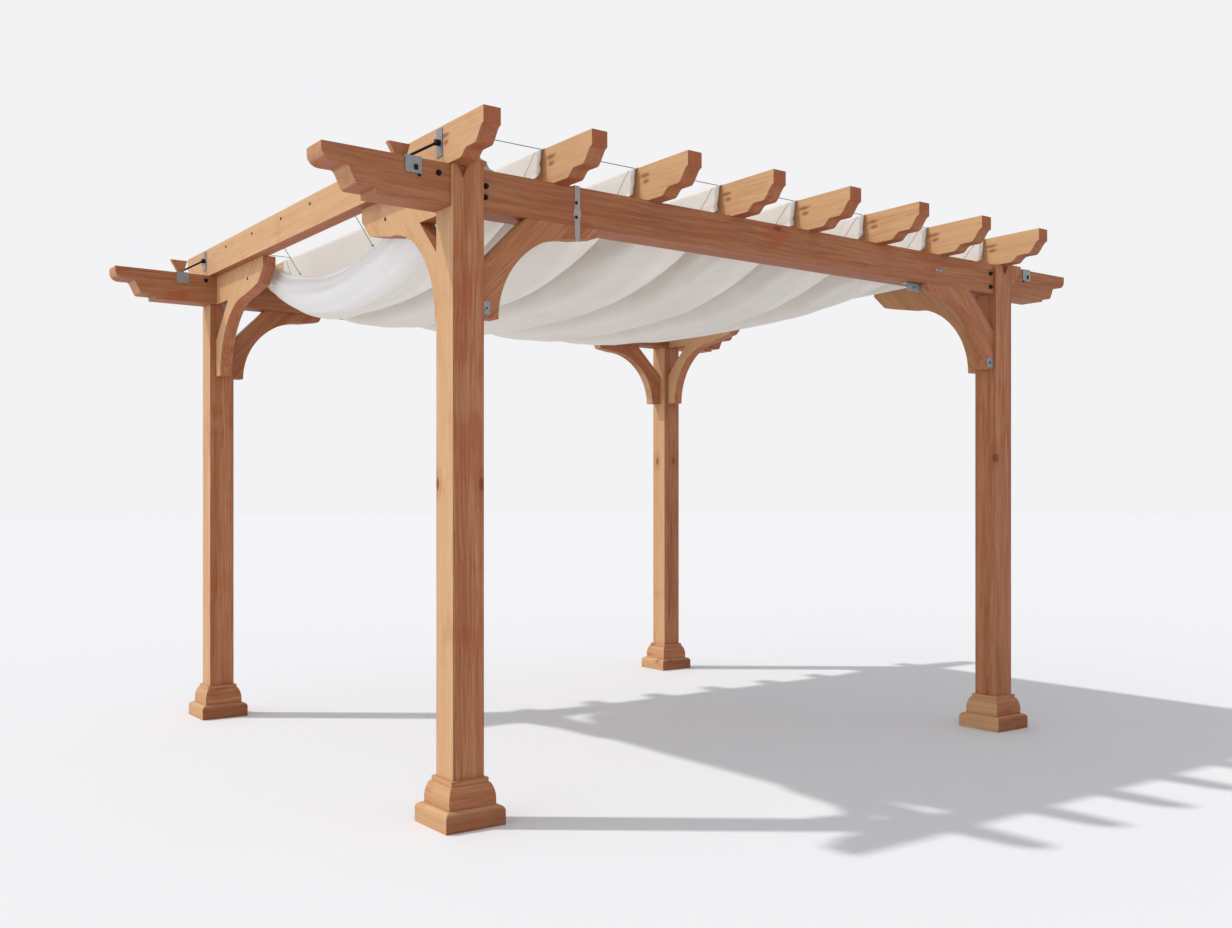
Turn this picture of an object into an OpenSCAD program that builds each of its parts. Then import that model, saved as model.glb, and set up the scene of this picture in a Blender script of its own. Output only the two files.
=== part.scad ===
// Four-post timber pergola with a draped shade cloth.
// The origin is on the ground at the centre, X runs along the front beam and Y from front to back.

/* [Frame] */
// Width over the posts along the front
frame_w = 3600; // [3000:10:4600]
// Depth over the posts from front to back
frame_d = 3140; // [2600:10:4000]
// Height of the beams' top above the ground
beam_top = 2630; // [2300:10:3000]

/* [Posts] */
// Side of each square post
post_w = 140; // [120:1:180]
// Thickness of the cheek that the post keeps in front of the beam
cheek_t = 16; // [10:1:30]
// Height of the cheek's ear above the beam
ear_rise = 30; // [15:1:60]
// Overhang of the ear's lip past the post
lip_out = 13; // [5:1:30]
// Height of the ear's lip
lip_h = 28; // [10:1:40]
// Width of the notch in the cheek's top
notch_w = 50; // [20:1:60]
// Depth of the notch in the cheek's top
notch_h = 52; // [20:1:90]
// Clearance between the rafter and the ear beside it
ear_gap = 6; // [2:1:15]
// Reach of the flared ear on the right posts
flare_out = 92; // [40:1:140]
// Height of the flared ear's slope
flare_h = 120; // [60:1:150]

/* [Post bases] */
// Overhang of the plinth past the post
plinth_out = 64; // [50:1:90]
// Height of the plinth
plinth_h = 80; // [60:1:120]
// Radius of the plinth's rounded upper edge
plinth_r = 24; // [8:1:40]
// Overhang of the upper moulding past the post
mould_out = 36; // [30:1:46]
// Height of the upper moulding
mould_h = 88; // [60:1:130]
// Height of the moulding's straight foot
mould_foot = 26; // [10:1:40]
// Overhang of the moulding's top past the post
mould_top_out = 20; // [16:1:26]
// Overhang of the collar past the post
collar_out = 14; // [6:1:15]
// Height of the collar
collar_h = 20; // [10:1:40]
// Clearance of the base rings around the post
base_gap = 0.3; // [0.1:0.1:1]

/* [Beams] */
// Height of each beam
beam_h = 166; // [150:1:240]
// Thickness of each beam
beam_t = 140; // [100:1:160]
// Overhang of the beam's tail past the posts
beam_tail = 540; // [400:5:700]
// Height of the plumb cut at the tail's tip
nose_plumb = 24; // [10:1:40]
// Depth of the tail behind its rounded nose
nose_h = 68; // [50:1:80]
// Length of the rounded nose
nose_run = 46; // [20:1:60]
// Length of the flat behind the nose
nose_flat = 50; // [30:1:100]
// Depth of the tail at its lower lobe
lobe_h = 143; // [120:1:147]
// Length of the curve down to the lower lobe
lobe_run = 52; // [30:1:80]
// Length of the flat on the lower lobe
lobe_flat = 70; // [30:1:100]

/* [Rafters] */
// Thickness of each rafter
rafter_t = 76; // [60:1:90]
// Height of each rafter
rafter_h = 160; // [140:1:220]
// Overhang of the rafter's tail past the posts
rafter_tail = 260; // [230:5:500]
// Distance the first rafter stands out past the left posts
first_out = 12; // [0:1:30]
// Distance the last rafter stands in from the right posts' outer face
last_in = 38; // [30:1:60]
// Height of the plumb cut at the tail's tip
tip_h = 65; // [40:1:80]
// Length of the ogee behind the tip
ogee_run = 70; // [50:1:85]
// Depth of the tail at the knuckle behind the ogee
knuckle_h = 128; // [115:1:136]
// Length of the flat on the knuckle
knuckle_flat = 58; // [20:1:80]
// Length of the small curve from the knuckle down to the rafter's underside
heel_run = 54; // [30:1:70]

/* [Braces] */
// Thickness of each knee brace
brace_t = 70; // [50:1:76]
// Drop of the beam braces' foot below the beam
brace_drop = 430; // [360:5:600]
// Width of the brace's foot
brace_foot = 77; // [50:1:110]
// Height of the brace's face against the post
brace_face = 215; // [120:5:260]
// Depth of the beam brace at the crown of its arch
brace_crown = 58; // [40:1:90]
// Length of the beam brace beyond the crown
brace_tip = 113; // [60:1:180]
// Depth of the beam brace's tip
tip_depth = 40; // [20:1:50]
// Slant of the beam brace's end cut
tip_slant = 20; // [0:1:40]
// Depth of the rafter brace at the crown of its arch
corner_crown = 176; // [160:1:200]
// Length of the rafter brace's rising underside beyond the crown
corner_run = 209; // [120:1:260]
// Depth of the rafter brace where its end cut starts
corner_end = 138; // [110:1:150]
// Length of the rafter brace's end cut
corner_cut = 85; // [40:1:110]
// Depth of the rafter brace's tip
corner_tip = 58; // [30:1:80]

/* [Canopy] */
// Thickness of the canopy's solid
cloth_t = 8; // [4:1:12]
// Clearance between the canopy and what it lies on
seat_gap = 0.3; // [0.1:0.1:1]
// Sag of the cloth below the rafters' top at mid-depth
mid_sag = 512; // [380:2:600]
// Sag at mid-depth beside the last rafter, where the cloth is drawn up
right_sag = 80; // [50:2:370]
// Sag of the cloth at its front and back hems
hem_sag = 260; // [220:2:300]
// Sag of the end hem at its corners
corner_sag = 24; // [10:1:60]
// Height of the upright band along the end hem
band_h = 172; // [100:1:200]
// Room between the cloth and each rafter's side
side_gap = 16; // [12:1:30]
// Distance of the end hem from the first rafter
left_gap = 110; // [60:1:150]
// Width of the cloth's lap on the last rafter
last_lap = 24; // [15:1:24]
// Distance of the hem from the posts' outer face where it lies over a beam
hem_over = 92; // [60:1:130]
// Clearance of the hem behind a beam
hem_gap = 14; // [8:1:40]

/* [Wires and ties] */
// Diameter of the guide wires and end ties
wire_d = 4; // [3:0.5:8]
// Distance of the guide wires from the posts' outer face
wire_in = 136; // [110:1:220]
// Distance of the end ties from mid-depth
tie_y = 455; // [200:5:800]
// Drop of the end ties' studs below the rafters' top
tie_drop = 130; // [60:1:140]

/* [Hardware] */
// Thickness of the galvanised plates
plate_t = 4; // [3:0.5:8]
// Width of the saddles over the beam tails
saddle_w = 70; // [40:1:100]
// Length of the saddles' legs
saddle_leg = 62; // [30:1:100]
// Distance of the saddles from the posts
saddle_out = 165; // [120:1:240]
// Width of the plates on the outer rafters
rafter_plate_w = 48; // [40:1:90]
// Height of the plates on the outer rafters
rafter_plate_h = 112; // [60:1:125]
// Diameter of the stay rods
rod_d = 11; // [6:1:16]
// Diameter of the stay rods' knobs
knob_d = 26; // [20:1:34]
// Height of the stay rods' knobs
knob_h = 18; // [14:1:26]

/* [Hidden] */
$fn = 64;
FRONT = -1;
BACK = 1;
RAFTERS = 8;
CURVE_STEPS = 10;
eps = 1;

WOOD = "#c98d55";
RED_WOOD = "#a65f38";
CLOTH = "#f0ece4";
ZINC = "#9aa2a8";
BLACK = "#23252a";

half_w = frame_w / 2;
half_d = frame_d / 2;
beam_bottom = beam_top - beam_h;
rafter_top = beam_top + rafter_h;
first_x = -half_w - first_out;
last_x = half_w - last_in - rafter_t;
pitch = (last_x - first_x) / (RAFTERS - 1);
rafter_reach = half_d + rafter_tail;
beam_reach = half_w + beam_tail;
// A beam's centre line, measured from mid-depth
beam_y = half_d - cheek_t - beam_t / 2;

function rafter_x(i) = first_x + (i - 1) * pitch;

// The canopy's middle surface where it crosses a rafter
crest_z = rafter_top + seat_gap + cloth_t / 2;
behind_beam = cheek_t + beam_t + hem_gap + cloth_t / 2;
BAY_STEPS = 8;
ROW_STEPS = 16;
// How flat the swags' bottoms and how upright the end band is
FULLNESS = 8;
SHOULDER = 0.03;
// Part of the sag that the end band may take up near the corners
BAND_SHARE = 0.8;

wire_z = rafter_top + seat_gap + cloth_t + seat_gap + wire_d / 2;
anchor_t = 6;
anchor_w = 24;
stud_d = 12;
stud_l = 14;
bead_d = 12;

// Stands a profile drawn in X and Z upright, between y = 0 and y = depth
module upright(depth) {
    translate([0, depth, 0]) rotate([90, 0, 0]) linear_extrude(depth) children();
}

// Turns a corner drawn at the front left into any of the four corners
module at_corner(side, end) {
    translate([side * half_w, end * half_d, 0])
        mirror([side > 0 ? 1 : 0, 0, 0]) mirror([0, end > 0 ? 1 : 0, 0]) children();
}

// The cheek's outline in front of a left beam seat, with its notch, ear and lip; its root is in the post
module left_cheek() {
    ear_x = rafter_t - first_out + ear_gap;
    notch_x = ear_x - notch_w;
    polygon([
        [0, beam_bottom - post_w], [post_w, beam_bottom - post_w], [post_w, beam_top + ear_rise - lip_h],
        [post_w + lip_out, beam_top + ear_rise - lip_h / 2], [post_w + lip_out, beam_top + ear_rise],
        [ear_x, beam_top + ear_rise], [ear_x, beam_top], [notch_x + notch_w / 2, beam_top - notch_h],
        [notch_x, beam_top], [0, beam_top],
    ]);
}

// The same in front of a right beam seat, with a flared ear that points away from the post
module right_cheek() {
    ear_x = last_in - ear_gap;
    notch_x = ear_x + notch_w;
    polygon([
        [post_w, beam_bottom - post_w], [0, beam_bottom - post_w], [0, beam_top - flare_h],
        [-flare_out, beam_top - lip_h / 2], [-flare_out, beam_top + ear_rise / 3],
        [ear_x, beam_top + ear_rise / 3], [ear_x, beam_top], [ear_x + notch_w / 2, beam_top - notch_h],
        [notch_x, beam_top], [post_w, beam_top],
    ]);
}

module post(side, end) {
    color(WOOD) at_corner(side, end) union() {
        cube([post_w, post_w, beam_bottom]);
        upright(cheek_t) {
            if (side < 0) left_cheek();
            else right_cheek();
        }
    }
}

// A square ring around a post, from a profile that is mitred at its four corners
module ring(height) {
    span = post_w + 2 * plinth_out + 2 * eps;
    bore = post_w + 2 * base_gap;
    translate([post_w / 2, post_w / 2, 0]) difference() {
        intersection() {
            translate([0, -span / 2, 0]) upright(span) children();
            rotate([0, 0, 90]) translate([0, -span / 2, 0]) upright(span) children();
        }
        translate([-bore / 2, -bore / 2, -eps]) cube([bore, bore, height + 2 * eps]);
    }
}

module plinth(side, end) {
    w = post_w + 2 * plinth_out;
    color(WOOD) at_corner(side, end) ring(plinth_h) {
        translate([-w / 2, 0]) square([w, plinth_h - plinth_r]);
        translate([-w / 2 + plinth_r, 0]) square([w - 2 * plinth_r, plinth_h]);
        for (s = [-1, 1]) translate([s * (w / 2 - plinth_r), plinth_h - plinth_r]) circle(plinth_r);
    }
}

// The moulding's ovolo is an arc that starts upright at the foot and leans in to the top
module mould_profile() {
    w = post_w + 2 * mould_out;
    lean = mould_out - mould_top_out;
    rise = mould_h - mould_foot;
    r = (rise * rise + lean * lean) / (2 * lean);
    collar_w = post_w + 2 * collar_out;
    translate([-w / 2, 0]) square([w, mould_foot]);
    translate([-collar_w / 2, 0]) square([collar_w, mould_h + collar_h]);
    intersection() {
        translate([-w / 2, 0]) square([w, mould_h]);
        translate([w / 2 - r, mould_foot]) circle(r);
        translate([r - w / 2, mould_foot]) circle(r);
    }
}

module base_mould(side, end) {
    color(RED_WOOD) at_corner(side, end) translate([0, 0, plinth_h]) ring(mould_h + collar_h) mould_profile();
}

// An S-curve from one point of an outline to another, level at both ends
function ogee(from, to) = [for (k = [0:CURVE_STEPS]) let (u = k / CURVE_STEPS)
    [from[0] + (to[0] - from[0]) * u, from[1] + (to[1] - from[1]) * (1 - cos(180 * u)) / 2]];

// A quarter round that starts plumb and ends level
function quarter(from, to) = [for (k = [0:CURVE_STEPS]) let (a = 90 * k / CURVE_STEPS)
    [from[0] + (to[0] - from[0]) * (1 - cos(a)), from[1] + (to[1] - from[1]) * sin(a)]];

// A whole outline from its right half, which is listed from the top downwards
function both_halves(half) = concat(half, [for (k = [len(half) - 1:-1:0]) [-half[k][0], half[k][1]]]);

// A beam, drawn downwards from its top: a rounded nose and a lobe under each tail's tip
module beam_profile() {
    nose_x = beam_reach - nose_run;
    lobe_x = nose_x - nose_flat;
    foot_x = lobe_x - lobe_run - lobe_flat;
    polygon(both_halves(concat(
        [[beam_reach, 0]],
        quarter([beam_reach, nose_plumb], [nose_x, nose_h]),
        ogee([lobe_x, nose_h], [lobe_x - lobe_run, lobe_h]),
        [[foot_x, lobe_h], [foot_x, beam_h]])));
}

module beam(end) {
    color(WOOD) translate([0, end * beam_y - beam_t / 2, 0]) upright(beam_t)
        translate([0, beam_top]) mirror([0, 1]) beam_profile();
}

// A rafter, drawn downwards from its top: plumb tip, ogee, knuckle and heel
module rafter_profile() {
    knuckle_y = rafter_reach - ogee_run;
    heel_y = knuckle_y - knuckle_flat;
    polygon(both_halves(concat(
        [[rafter_reach, 0]],
        ogee([rafter_reach, tip_h], [knuckle_y, knuckle_h]),
        ogee([heel_y, knuckle_h], [heel_y - heel_run, rafter_h]))));
}

module rafter(i) {
    color(WOOD) translate([rafter_x(i), 0, rafter_top]) rotate([0, 0, 90]) translate([0, -rafter_t, 0])
        upright(rafter_t) mirror([0, 1]) rafter_profile();
}

// A knee brace is drawn with its corner at the origin, its post along -Z and what it holds along +X
module beam_brace(side, end) {
    r = brace_drop - brace_crown;
    arch_x = brace_foot + r;
    tip_x = arch_x + brace_tip;
    chamfer = brace_drop - brace_face;
    color(WOOD) at_corner(side, end) translate([post_w, cheek_t, beam_bottom]) upright(brace_t) difference() {
        polygon([
            [0, -brace_drop], [0, -chamfer], [chamfer, 0], [tip_x + tip_slant, 0], [tip_x, -tip_depth],
            [arch_x, -brace_crown], [arch_x, -brace_drop],
        ]);
        translate([arch_x, -brace_drop]) circle(r);
    }
}

// The rafter brace also fills the corner behind the beam, from the beam's underside up to the rafter
module rafter_brace(side, end) {
    drop = brace_drop + beam_h;
    r = drop - corner_crown;
    arch_x = brace_foot + r;
    cut_x = arch_x + corner_run;
    chamfer = drop - brace_face;
    beam_x = cheek_t + beam_t - post_w;
    color(WOOD) at_corner(side, end) translate([(post_w + brace_t) / 2, post_w, beam_top]) rotate([0, 0, 90])
        upright(brace_t) difference() {
            polygon([
                [0, -drop], [0, -chamfer], [chamfer - beam_h, -beam_h], [beam_x, -beam_h], [beam_x, 0],
                [cut_x + corner_cut, 0], [cut_x + corner_cut, -corner_tip], [cut_x, -corner_end],
                [arch_x, -corner_crown], [arch_x, -drop],
            ]);
            translate([arch_x, -drop]) circle(r);
        }
}

// One station across the canopy holds x, its share of the sag, how much it belongs to the end hem
// and its share of that hem's band
function toward_edge(u) = pow(abs(2 * u - 1), FULLNESS);
function swag(u) = max(SHOULDER, 1 - toward_edge(u));
// How far u has come from the end hem of the first bay; the other bays have none
function from_end(i, u) = i == 1 ? u : 1;
function bay_share(e, u) = e < 0.5 ? 1 : swag(u);
function bay_band(e) = e < 0.5 ? toward_edge(e) : 0;
function ease(j) = (1 - cos(180 * j / BAY_STEPS)) / 2;
function bay_from(i) = rafter_x(i) + rafter_t + (i == 1 ? left_gap : side_gap);
function bay_to(i) = rafter_x(i + 1) - side_gap;
function bay(i) = [for (j = [0:BAY_STEPS]) let (u = ease(j), e = from_end(i, u))
    [bay_from(i) + u * (bay_to(i) - bay_from(i)), bay_share(e, u), 1 - e, bay_band(e)]];
// The cloth crosses each rafter and ends on top of the last one
function crest(i) = let (lap = i < RAFTERS ? rafter_t : last_lap)
    [[rafter_x(i), 0, 0, 0], [rafter_x(i) + lap, 0, 0, 0]];

stations = [for (i = [1:RAFTERS - 1]) each concat(bay(i), crest(i + 1))];
last_station = len(stations) - 1;

// The cloth's sag at t, which runs from -1 at the front hem to 1 at the back hem
function hem_depth(e) = hem_sag + (corner_sag - hem_sag) * e;
// The middle is drawn up from the centre towards the last rafter
function mid_depth(x) = mid_sag - (mid_sag - right_sag) * pow(max(0, x / last_x), 3);
function sag(s, t) = let (e = s[2], hem = hem_depth(e))
    hem + (mid_depth(s[0]) - hem) * (1 - pow(abs(t), 3 - e));
// The hem lies over the beam at the crests and drops behind it in between
function hem_in(share) = hem_over + (behind_beam - hem_over) * min(1, max(0, (share - 0.25) / 0.25));
function row_t(j) = 2 * j / ROW_STEPS - 1;
function cloth_z(s, t) = let (drop = sag(s, t))
    crest_z - s[1] * drop + s[3] * min(band_h, BAND_SHARE * drop);
function cloth_point(i, j) = let (s = stations[i], t = row_t(j))
    [s[0], t * (half_d - hem_in(s[1])), cloth_z(s, t)];

function unit(v) = v / norm(v);
function cloth_normal(i, j) = unit(cross(
    cloth_point(min(i + 1, last_station), j) - cloth_point(max(i - 1, 0), j),
    cloth_point(i, min(j + 1, ROW_STEPS)) - cloth_point(i, max(j - 1, 0))));

module canopy() {
    rows = ROW_STEPS + 1;
    count = (last_station + 1) * rows;
    skins = [for (s = [1, -1]) for (i = [0:last_station]) for (j = [0:ROW_STEPS])
        cloth_point(i, j) + s * cloth_t / 2 * cloth_normal(i, j)];
    function at(i, j) = i * rows + j;
    top = [for (i = [0:last_station - 1]) for (j = [0:ROW_STEPS - 1])
        each [[at(i, j), at(i, j + 1), at(i + 1, j + 1)], [at(i, j), at(i + 1, j + 1), at(i + 1, j)]]];
    rim = concat(
        [for (i = [0:last_station]) at(i, 0)], [for (j = [1:ROW_STEPS]) at(last_station, j)],
        [for (i = [last_station - 1:-1:0]) at(i, ROW_STEPS)], [for (j = [ROW_STEPS - 1:-1:1]) at(0, j)]);
    under = [for (f = top) [f[0] + count, f[2] + count, f[1] + count]];
    edge = [for (n = [0:len(rim) - 1]) let (a = rim[n], b = rim[(n + 1) % len(rim)])
        each [[a, b, b + count], [a, b + count, a + count]]];
    color(CLOTH) polyhedron(skins, concat(top, under, edge));
}

// A round bar between two points
module bar(a, b, d) {
    v = b - a;
    translate(a) rotate([0, acos(v[2] / norm(v)), atan2(v[1], v[0])]) cylinder(h = norm(v), d = d);
}

anchor_left = first_x + rafter_t / 2;
anchor_right = last_x + rafter_t / 2;

module guide_wires() {
    color(ZINC) for (end = [FRONT, BACK])
        bar([anchor_left + anchor_t / 2, end * (half_d - wire_in), wire_z],
            [anchor_right - anchor_t / 2, end * (half_d - wire_in), wire_z], wire_d);
}

module wire_anchors() {
    anchor_h = wire_z - rafter_top + wire_d * 2;
    color(ZINC) for (x = [anchor_left, anchor_right]) for (end = [FRONT, BACK])
        translate([x - anchor_t / 2, end * (half_d - wire_in) - anchor_w / 2, rafter_top])
            cube([anchor_t, anchor_w, anchor_h]);
}

// A tie hangs the end hem from a stud on the first rafter's inner face
function end_point(i, y) = let (s = stations[i], t = y / (half_d - hem_in(s[1]))) [s[0], y, cloth_z(s, t)];

module end_tie(y) {
    hem = end_point(0, y);
    outward = unit(hem - end_point(1, y));
    bead = hem + outward * (bead_d / 2 + seat_gap + cloth_t / 4);
    stud = [first_x + rafter_t, y, rafter_top - tie_drop];
    bar(stud, stud + [stud_l, 0, 0], stud_d);
    bar(stud + [stud_l - wire_d, 0, 0], bead, wire_d);
    translate(bead) sphere(d = bead_d);
}

module end_ties() {
    color(ZINC) for (end = [FRONT, BACK]) end_tie(end * tie_y);
}

module beam_saddles() {
    color(ZINC) for (side = [-1, 1]) for (end = [FRONT, BACK])
        translate([side * (half_w + saddle_out), end * beam_y, beam_top]) difference() {
            translate([-saddle_w / 2, -beam_t / 2 - plate_t, -saddle_leg])
                cube([saddle_w, beam_t + 2 * plate_t, saddle_leg + plate_t]);
            translate([-saddle_w / 2 - eps, -beam_t / 2, -saddle_leg - eps])
                cube([saddle_w + 2 * eps, beam_t, saddle_leg + eps]);
        }
}

plate_z = rafter_top - rafter_plate_h / 2 - plate_t * 2;
left_face = first_x;
right_face = last_x + rafter_t;

module rafter_plates() {
    color(ZINC) for (side = [-1, 1]) for (end = [FRONT, BACK])
        translate([side < 0 ? left_face - plate_t : right_face, end * beam_y - rafter_plate_w / 2,
                   plate_z - rafter_plate_h / 2])
            cube([plate_t, rafter_plate_w, rafter_plate_h]);
}

module stay_rods() {
    color(BLACK) for (side = [-1, 1]) for (end = [FRONT, BACK]) {
        foot = [side * (half_w + saddle_out), end * beam_y, beam_top + plate_t];
        head = [side < 0 ? left_face - plate_t : right_face + plate_t, end * beam_y, plate_z];
        translate(foot) cylinder(h = knob_h, d = knob_d);
        bar(head, head + [side * knob_h, 0, 0], knob_d);
        bar(foot + [0, 0, knob_h / 2], head + [side * knob_h / 2, 0, 0], rod_d);
    }
}

for (side = [-1, 1]) for (end = [FRONT, BACK]) {
    corner = str(end < 0 ? "front" : "back", "_", side < 0 ? "left" : "right");
    post(side, end);
    plinth(side, end);
    base_mould(side, end);
    beam_brace(side, end);
    rafter_brace(side, end);
}
for (i = [1:RAFTERS]) rafter(i);
beam(FRONT);  // front_beam
beam(BACK);  // back_beam
canopy();
guide_wires();
wire_anchors();
end_ties();
beam_saddles();
rafter_plates();
stay_rods();
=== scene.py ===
"""Dresses a four-post timber pergola: oiled softwood, galvanised fittings and a draped shade cloth."""

import math

import bmesh
import bpy
import numpy as np
from bpy.props import FloatProperty, FloatVectorProperty, PointerProperty
from bpy.types import Operator, Panel, PropertyGroup
from mathutils import Matrix, Vector, noise


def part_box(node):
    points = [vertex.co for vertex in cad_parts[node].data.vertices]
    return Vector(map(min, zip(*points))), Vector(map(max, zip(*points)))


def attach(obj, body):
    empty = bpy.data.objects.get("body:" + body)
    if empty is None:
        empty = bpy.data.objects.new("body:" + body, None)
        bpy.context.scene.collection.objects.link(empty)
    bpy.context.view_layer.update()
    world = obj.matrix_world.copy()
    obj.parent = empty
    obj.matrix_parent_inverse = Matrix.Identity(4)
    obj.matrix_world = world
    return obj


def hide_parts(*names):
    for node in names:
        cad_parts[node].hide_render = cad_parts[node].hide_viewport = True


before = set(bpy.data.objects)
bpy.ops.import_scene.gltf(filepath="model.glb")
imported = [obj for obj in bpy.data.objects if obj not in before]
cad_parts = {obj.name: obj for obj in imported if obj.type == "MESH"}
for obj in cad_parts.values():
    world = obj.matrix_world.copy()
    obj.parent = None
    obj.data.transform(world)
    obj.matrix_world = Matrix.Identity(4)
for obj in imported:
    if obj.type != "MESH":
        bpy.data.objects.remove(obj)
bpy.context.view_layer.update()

bl_info = {
    "name": "Timber pergola dressing",
    "version": (1, 0, 0),
    "blender": (4, 5, 0),
    "location": "View3D > Sidebar > Pergola",
    "description": "Gives the pergola its timber, its fittings and its shade cloth",
    "category": "Object",
}

FRONT_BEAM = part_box("front_beam")
RAFTERS = [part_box(f"rafter_{i}") for i in range(1, 9)]
BEAM_TOP = FRONT_BEAM[1].z
BEAM_BOTTOM = FRONT_BEAM[0].z
BEAM_FACE = FRONT_BEAM[0].y
FRONT_BEAM_T = FRONT_BEAM[1].y - FRONT_BEAM[0].y
RAFTER_TOP = RAFTERS[0][1].z
POST_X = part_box("post_front_left")[0].x
POST_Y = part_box("post_front_left")[0].y
POST_W = 0.140
SADDLE_X = -POST_X + 0.165
BEAM_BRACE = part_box("beam_brace_front_right")
RAFTER_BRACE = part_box("rafter_brace_front_left")


def tone(red, green, blue):
    """A colour as a paint chart gives it, turned into scene-linear light."""
    return tuple(
        v / 12.92 if v <= 0.04045 else ((v + 0.055) / 1.055) ** 2.4
        for v in (red / 255, green / 255, blue / 255)
    )


class PergolaTimber(PropertyGroup):
    """Colours of the timber."""

    pale: FloatVectorProperty(
        name="Early wood", description="Pale bands between the growth lines",
        subtype="COLOR", size=3, min=0, max=1, default=tone(190, 131, 92))
    deep: FloatVectorProperty(
        name="Late wood", description="Deeper streaks along the grain",
        subtype="COLOR", size=3, min=0, max=1, default=tone(163, 98, 62))
    line: FloatVectorProperty(
        name="Growth line", description="Thin dark lines, knots and drying cracks",
        subtype="COLOR", size=3, min=0, max=1, default=tone(108, 54, 28))
    silver: FloatVectorProperty(
        name="Weathered fibre", description="Short pale fibres where the oil has worn off",
        subtype="COLOR", size=3, min=0, max=1, default=tone(196, 160, 132))
    # Real stains near knots, joints and end grain, and also the painted warm bounce light on faces
    # turned down.
    stain_and_bounce: FloatVectorProperty(
        name="Red stain", description="Oil and tannin stains near the joints",
        subtype="COLOR", size=3, min=0, max=1, default=tone(158, 74, 36))
    # Painted sunlight: this tone, its warm streaks and its level stand in for direct sun on the faces
    # turned left and up.
    painted_sunlight: FloatVectorProperty(
        name="Sun-faded wood", description="Tone of the faces that the sun has paled",
        subtype="COLOR", size=3, min=0, max=1, default=tone(210, 170, 126))
    painted_sun_streak: FloatVectorProperty(
        name="Honey streak", description="Warm streaks in the sun-faded wood",
        subtype="COLOR", size=3, min=0, max=1, default=tone(196, 143, 96))
    painted_sun_level: FloatProperty(
        name="Fading", description="How far the sunny faces have paled",
        subtype="FACTOR", min=0, max=1, default=0.95)


class PergolaCloth(PropertyGroup):
    """Shape and colour of the shade cloth."""

    colour: FloatVectorProperty(
        name="Cloth", description="Off-white of the woven cloth",
        subtype="COLOR", size=3, min=0, max=1, default=tone(247, 244, 239))
    # Brown of the hem's stitching and of the thin diagonal lines by the rafters.
    seam: FloatVectorProperty(
        name="Seam", description="Brown of the stitched darts",
        subtype="COLOR", size=3, min=0, max=1, default=tone(150, 122, 96))
    thickness: FloatProperty(
        name="Thickness", description="Thickness of the cloth",
        unit="LENGTH", min=0.001, max=0.006, default=0.003)
    mid_sag: FloatProperty(
        name="Middle sag", description="Sag below the rafters' top at mid-depth",
        unit="LENGTH", min=0.2, max=0.6, default=0.512)
    right_sag: FloatProperty(
        name="Right sag", description="Sag at mid-depth by the last rafter, where the cloth is drawn up",
        unit="LENGTH", min=0.05, max=0.4, default=0.080)
    hem_sag: FloatProperty(
        name="Hem sag", description="Sag at the front and back hems",
        unit="LENGTH", min=0.1, max=0.4, default=0.260)
    corner_sag: FloatProperty(
        name="Corner sag", description="Sag of the end hem at its corners",
        unit="LENGTH", min=0.01, max=0.1, default=0.024)
    band: FloatProperty(
        name="End band", description="Height of the upright band along the end hem",
        unit="LENGTH", min=0.05, max=0.25, default=0.172)
    fold: FloatProperty(
        name="Fold depth", description="Height of the soft folds along the swags",
        unit="LENGTH", min=0, max=0.02, default=0.004)


class PergolaFittings(PropertyGroup):
    """Sizes and colours of the fittings."""

    zinc: FloatVectorProperty(
        name="Zinc", description="Galvanised steel",
        subtype="COLOR", size=3, min=0, max=1, default=tone(150, 154, 160))
    black: FloatVectorProperty(
        name="Black", description="Blackened bolts and rods",
        subtype="COLOR", size=3, min=0, max=1, default=tone(38, 37, 40))
    bolt: FloatProperty(
        name="Bolt head", description="Width of the bolt heads across their corners",
        unit="LENGTH", min=0.01, max=0.04, default=0.017)
    washer: FloatProperty(
        name="Washer", description="Diameter of the washers",
        unit="LENGTH", min=0.015, max=0.06, default=0.024)


class PergolaStage(PropertyGroup):
    """Floor, light and camera."""

    floor: FloatVectorProperty(
        name="Floor", description="Colour of the plain floor",
        subtype="COLOR", size=3, min=0, max=1, default=(0.79, 0.80, 0.83))
    backdrop: FloatVectorProperty(
        name="Backdrop", description="Colour behind the pergola",
        subtype="COLOR", size=3, min=0, max=1, default=(0.895, 0.895, 0.91))
    sun: FloatProperty(
        name="Sun", description="Strength of the key light", min=0, max=10, default=1.95)
    side: FloatProperty(
        name="Side light", description="Strength of the soft light from the left",
        min=0, max=5, default=0.5)
    sky: FloatProperty(
        name="Sky", description="Strength of the soft light all round", min=0, max=2, default=0.60)


class Value:
    """A node's output that takes part in sums, so that shader maths reads as Python."""

    def __init__(self, finish, socket):
        self.finish = finish
        self.socket = socket

    def sum(self, operation, *terms):
        return self.finish.node("ShaderNodeMath", {"operation": operation}, dict(enumerate(terms)))

    def __add__(self, other):
        return self.sum("ADD", self, other)

    def __radd__(self, other):
        return self.sum("ADD", other, self)

    def __sub__(self, other):
        return self.sum("SUBTRACT", self, other)

    def __rsub__(self, other):
        return self.sum("SUBTRACT", other, self)

    def __mul__(self, other):
        return self.sum("MULTIPLY", self, other)

    def __rmul__(self, other):
        return self.sum("MULTIPLY", other, self)

    def __pow__(self, other):
        return self.sum("POWER", self, other)

    def __abs__(self):
        return self.sum("ABSOLUTE", self)


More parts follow.
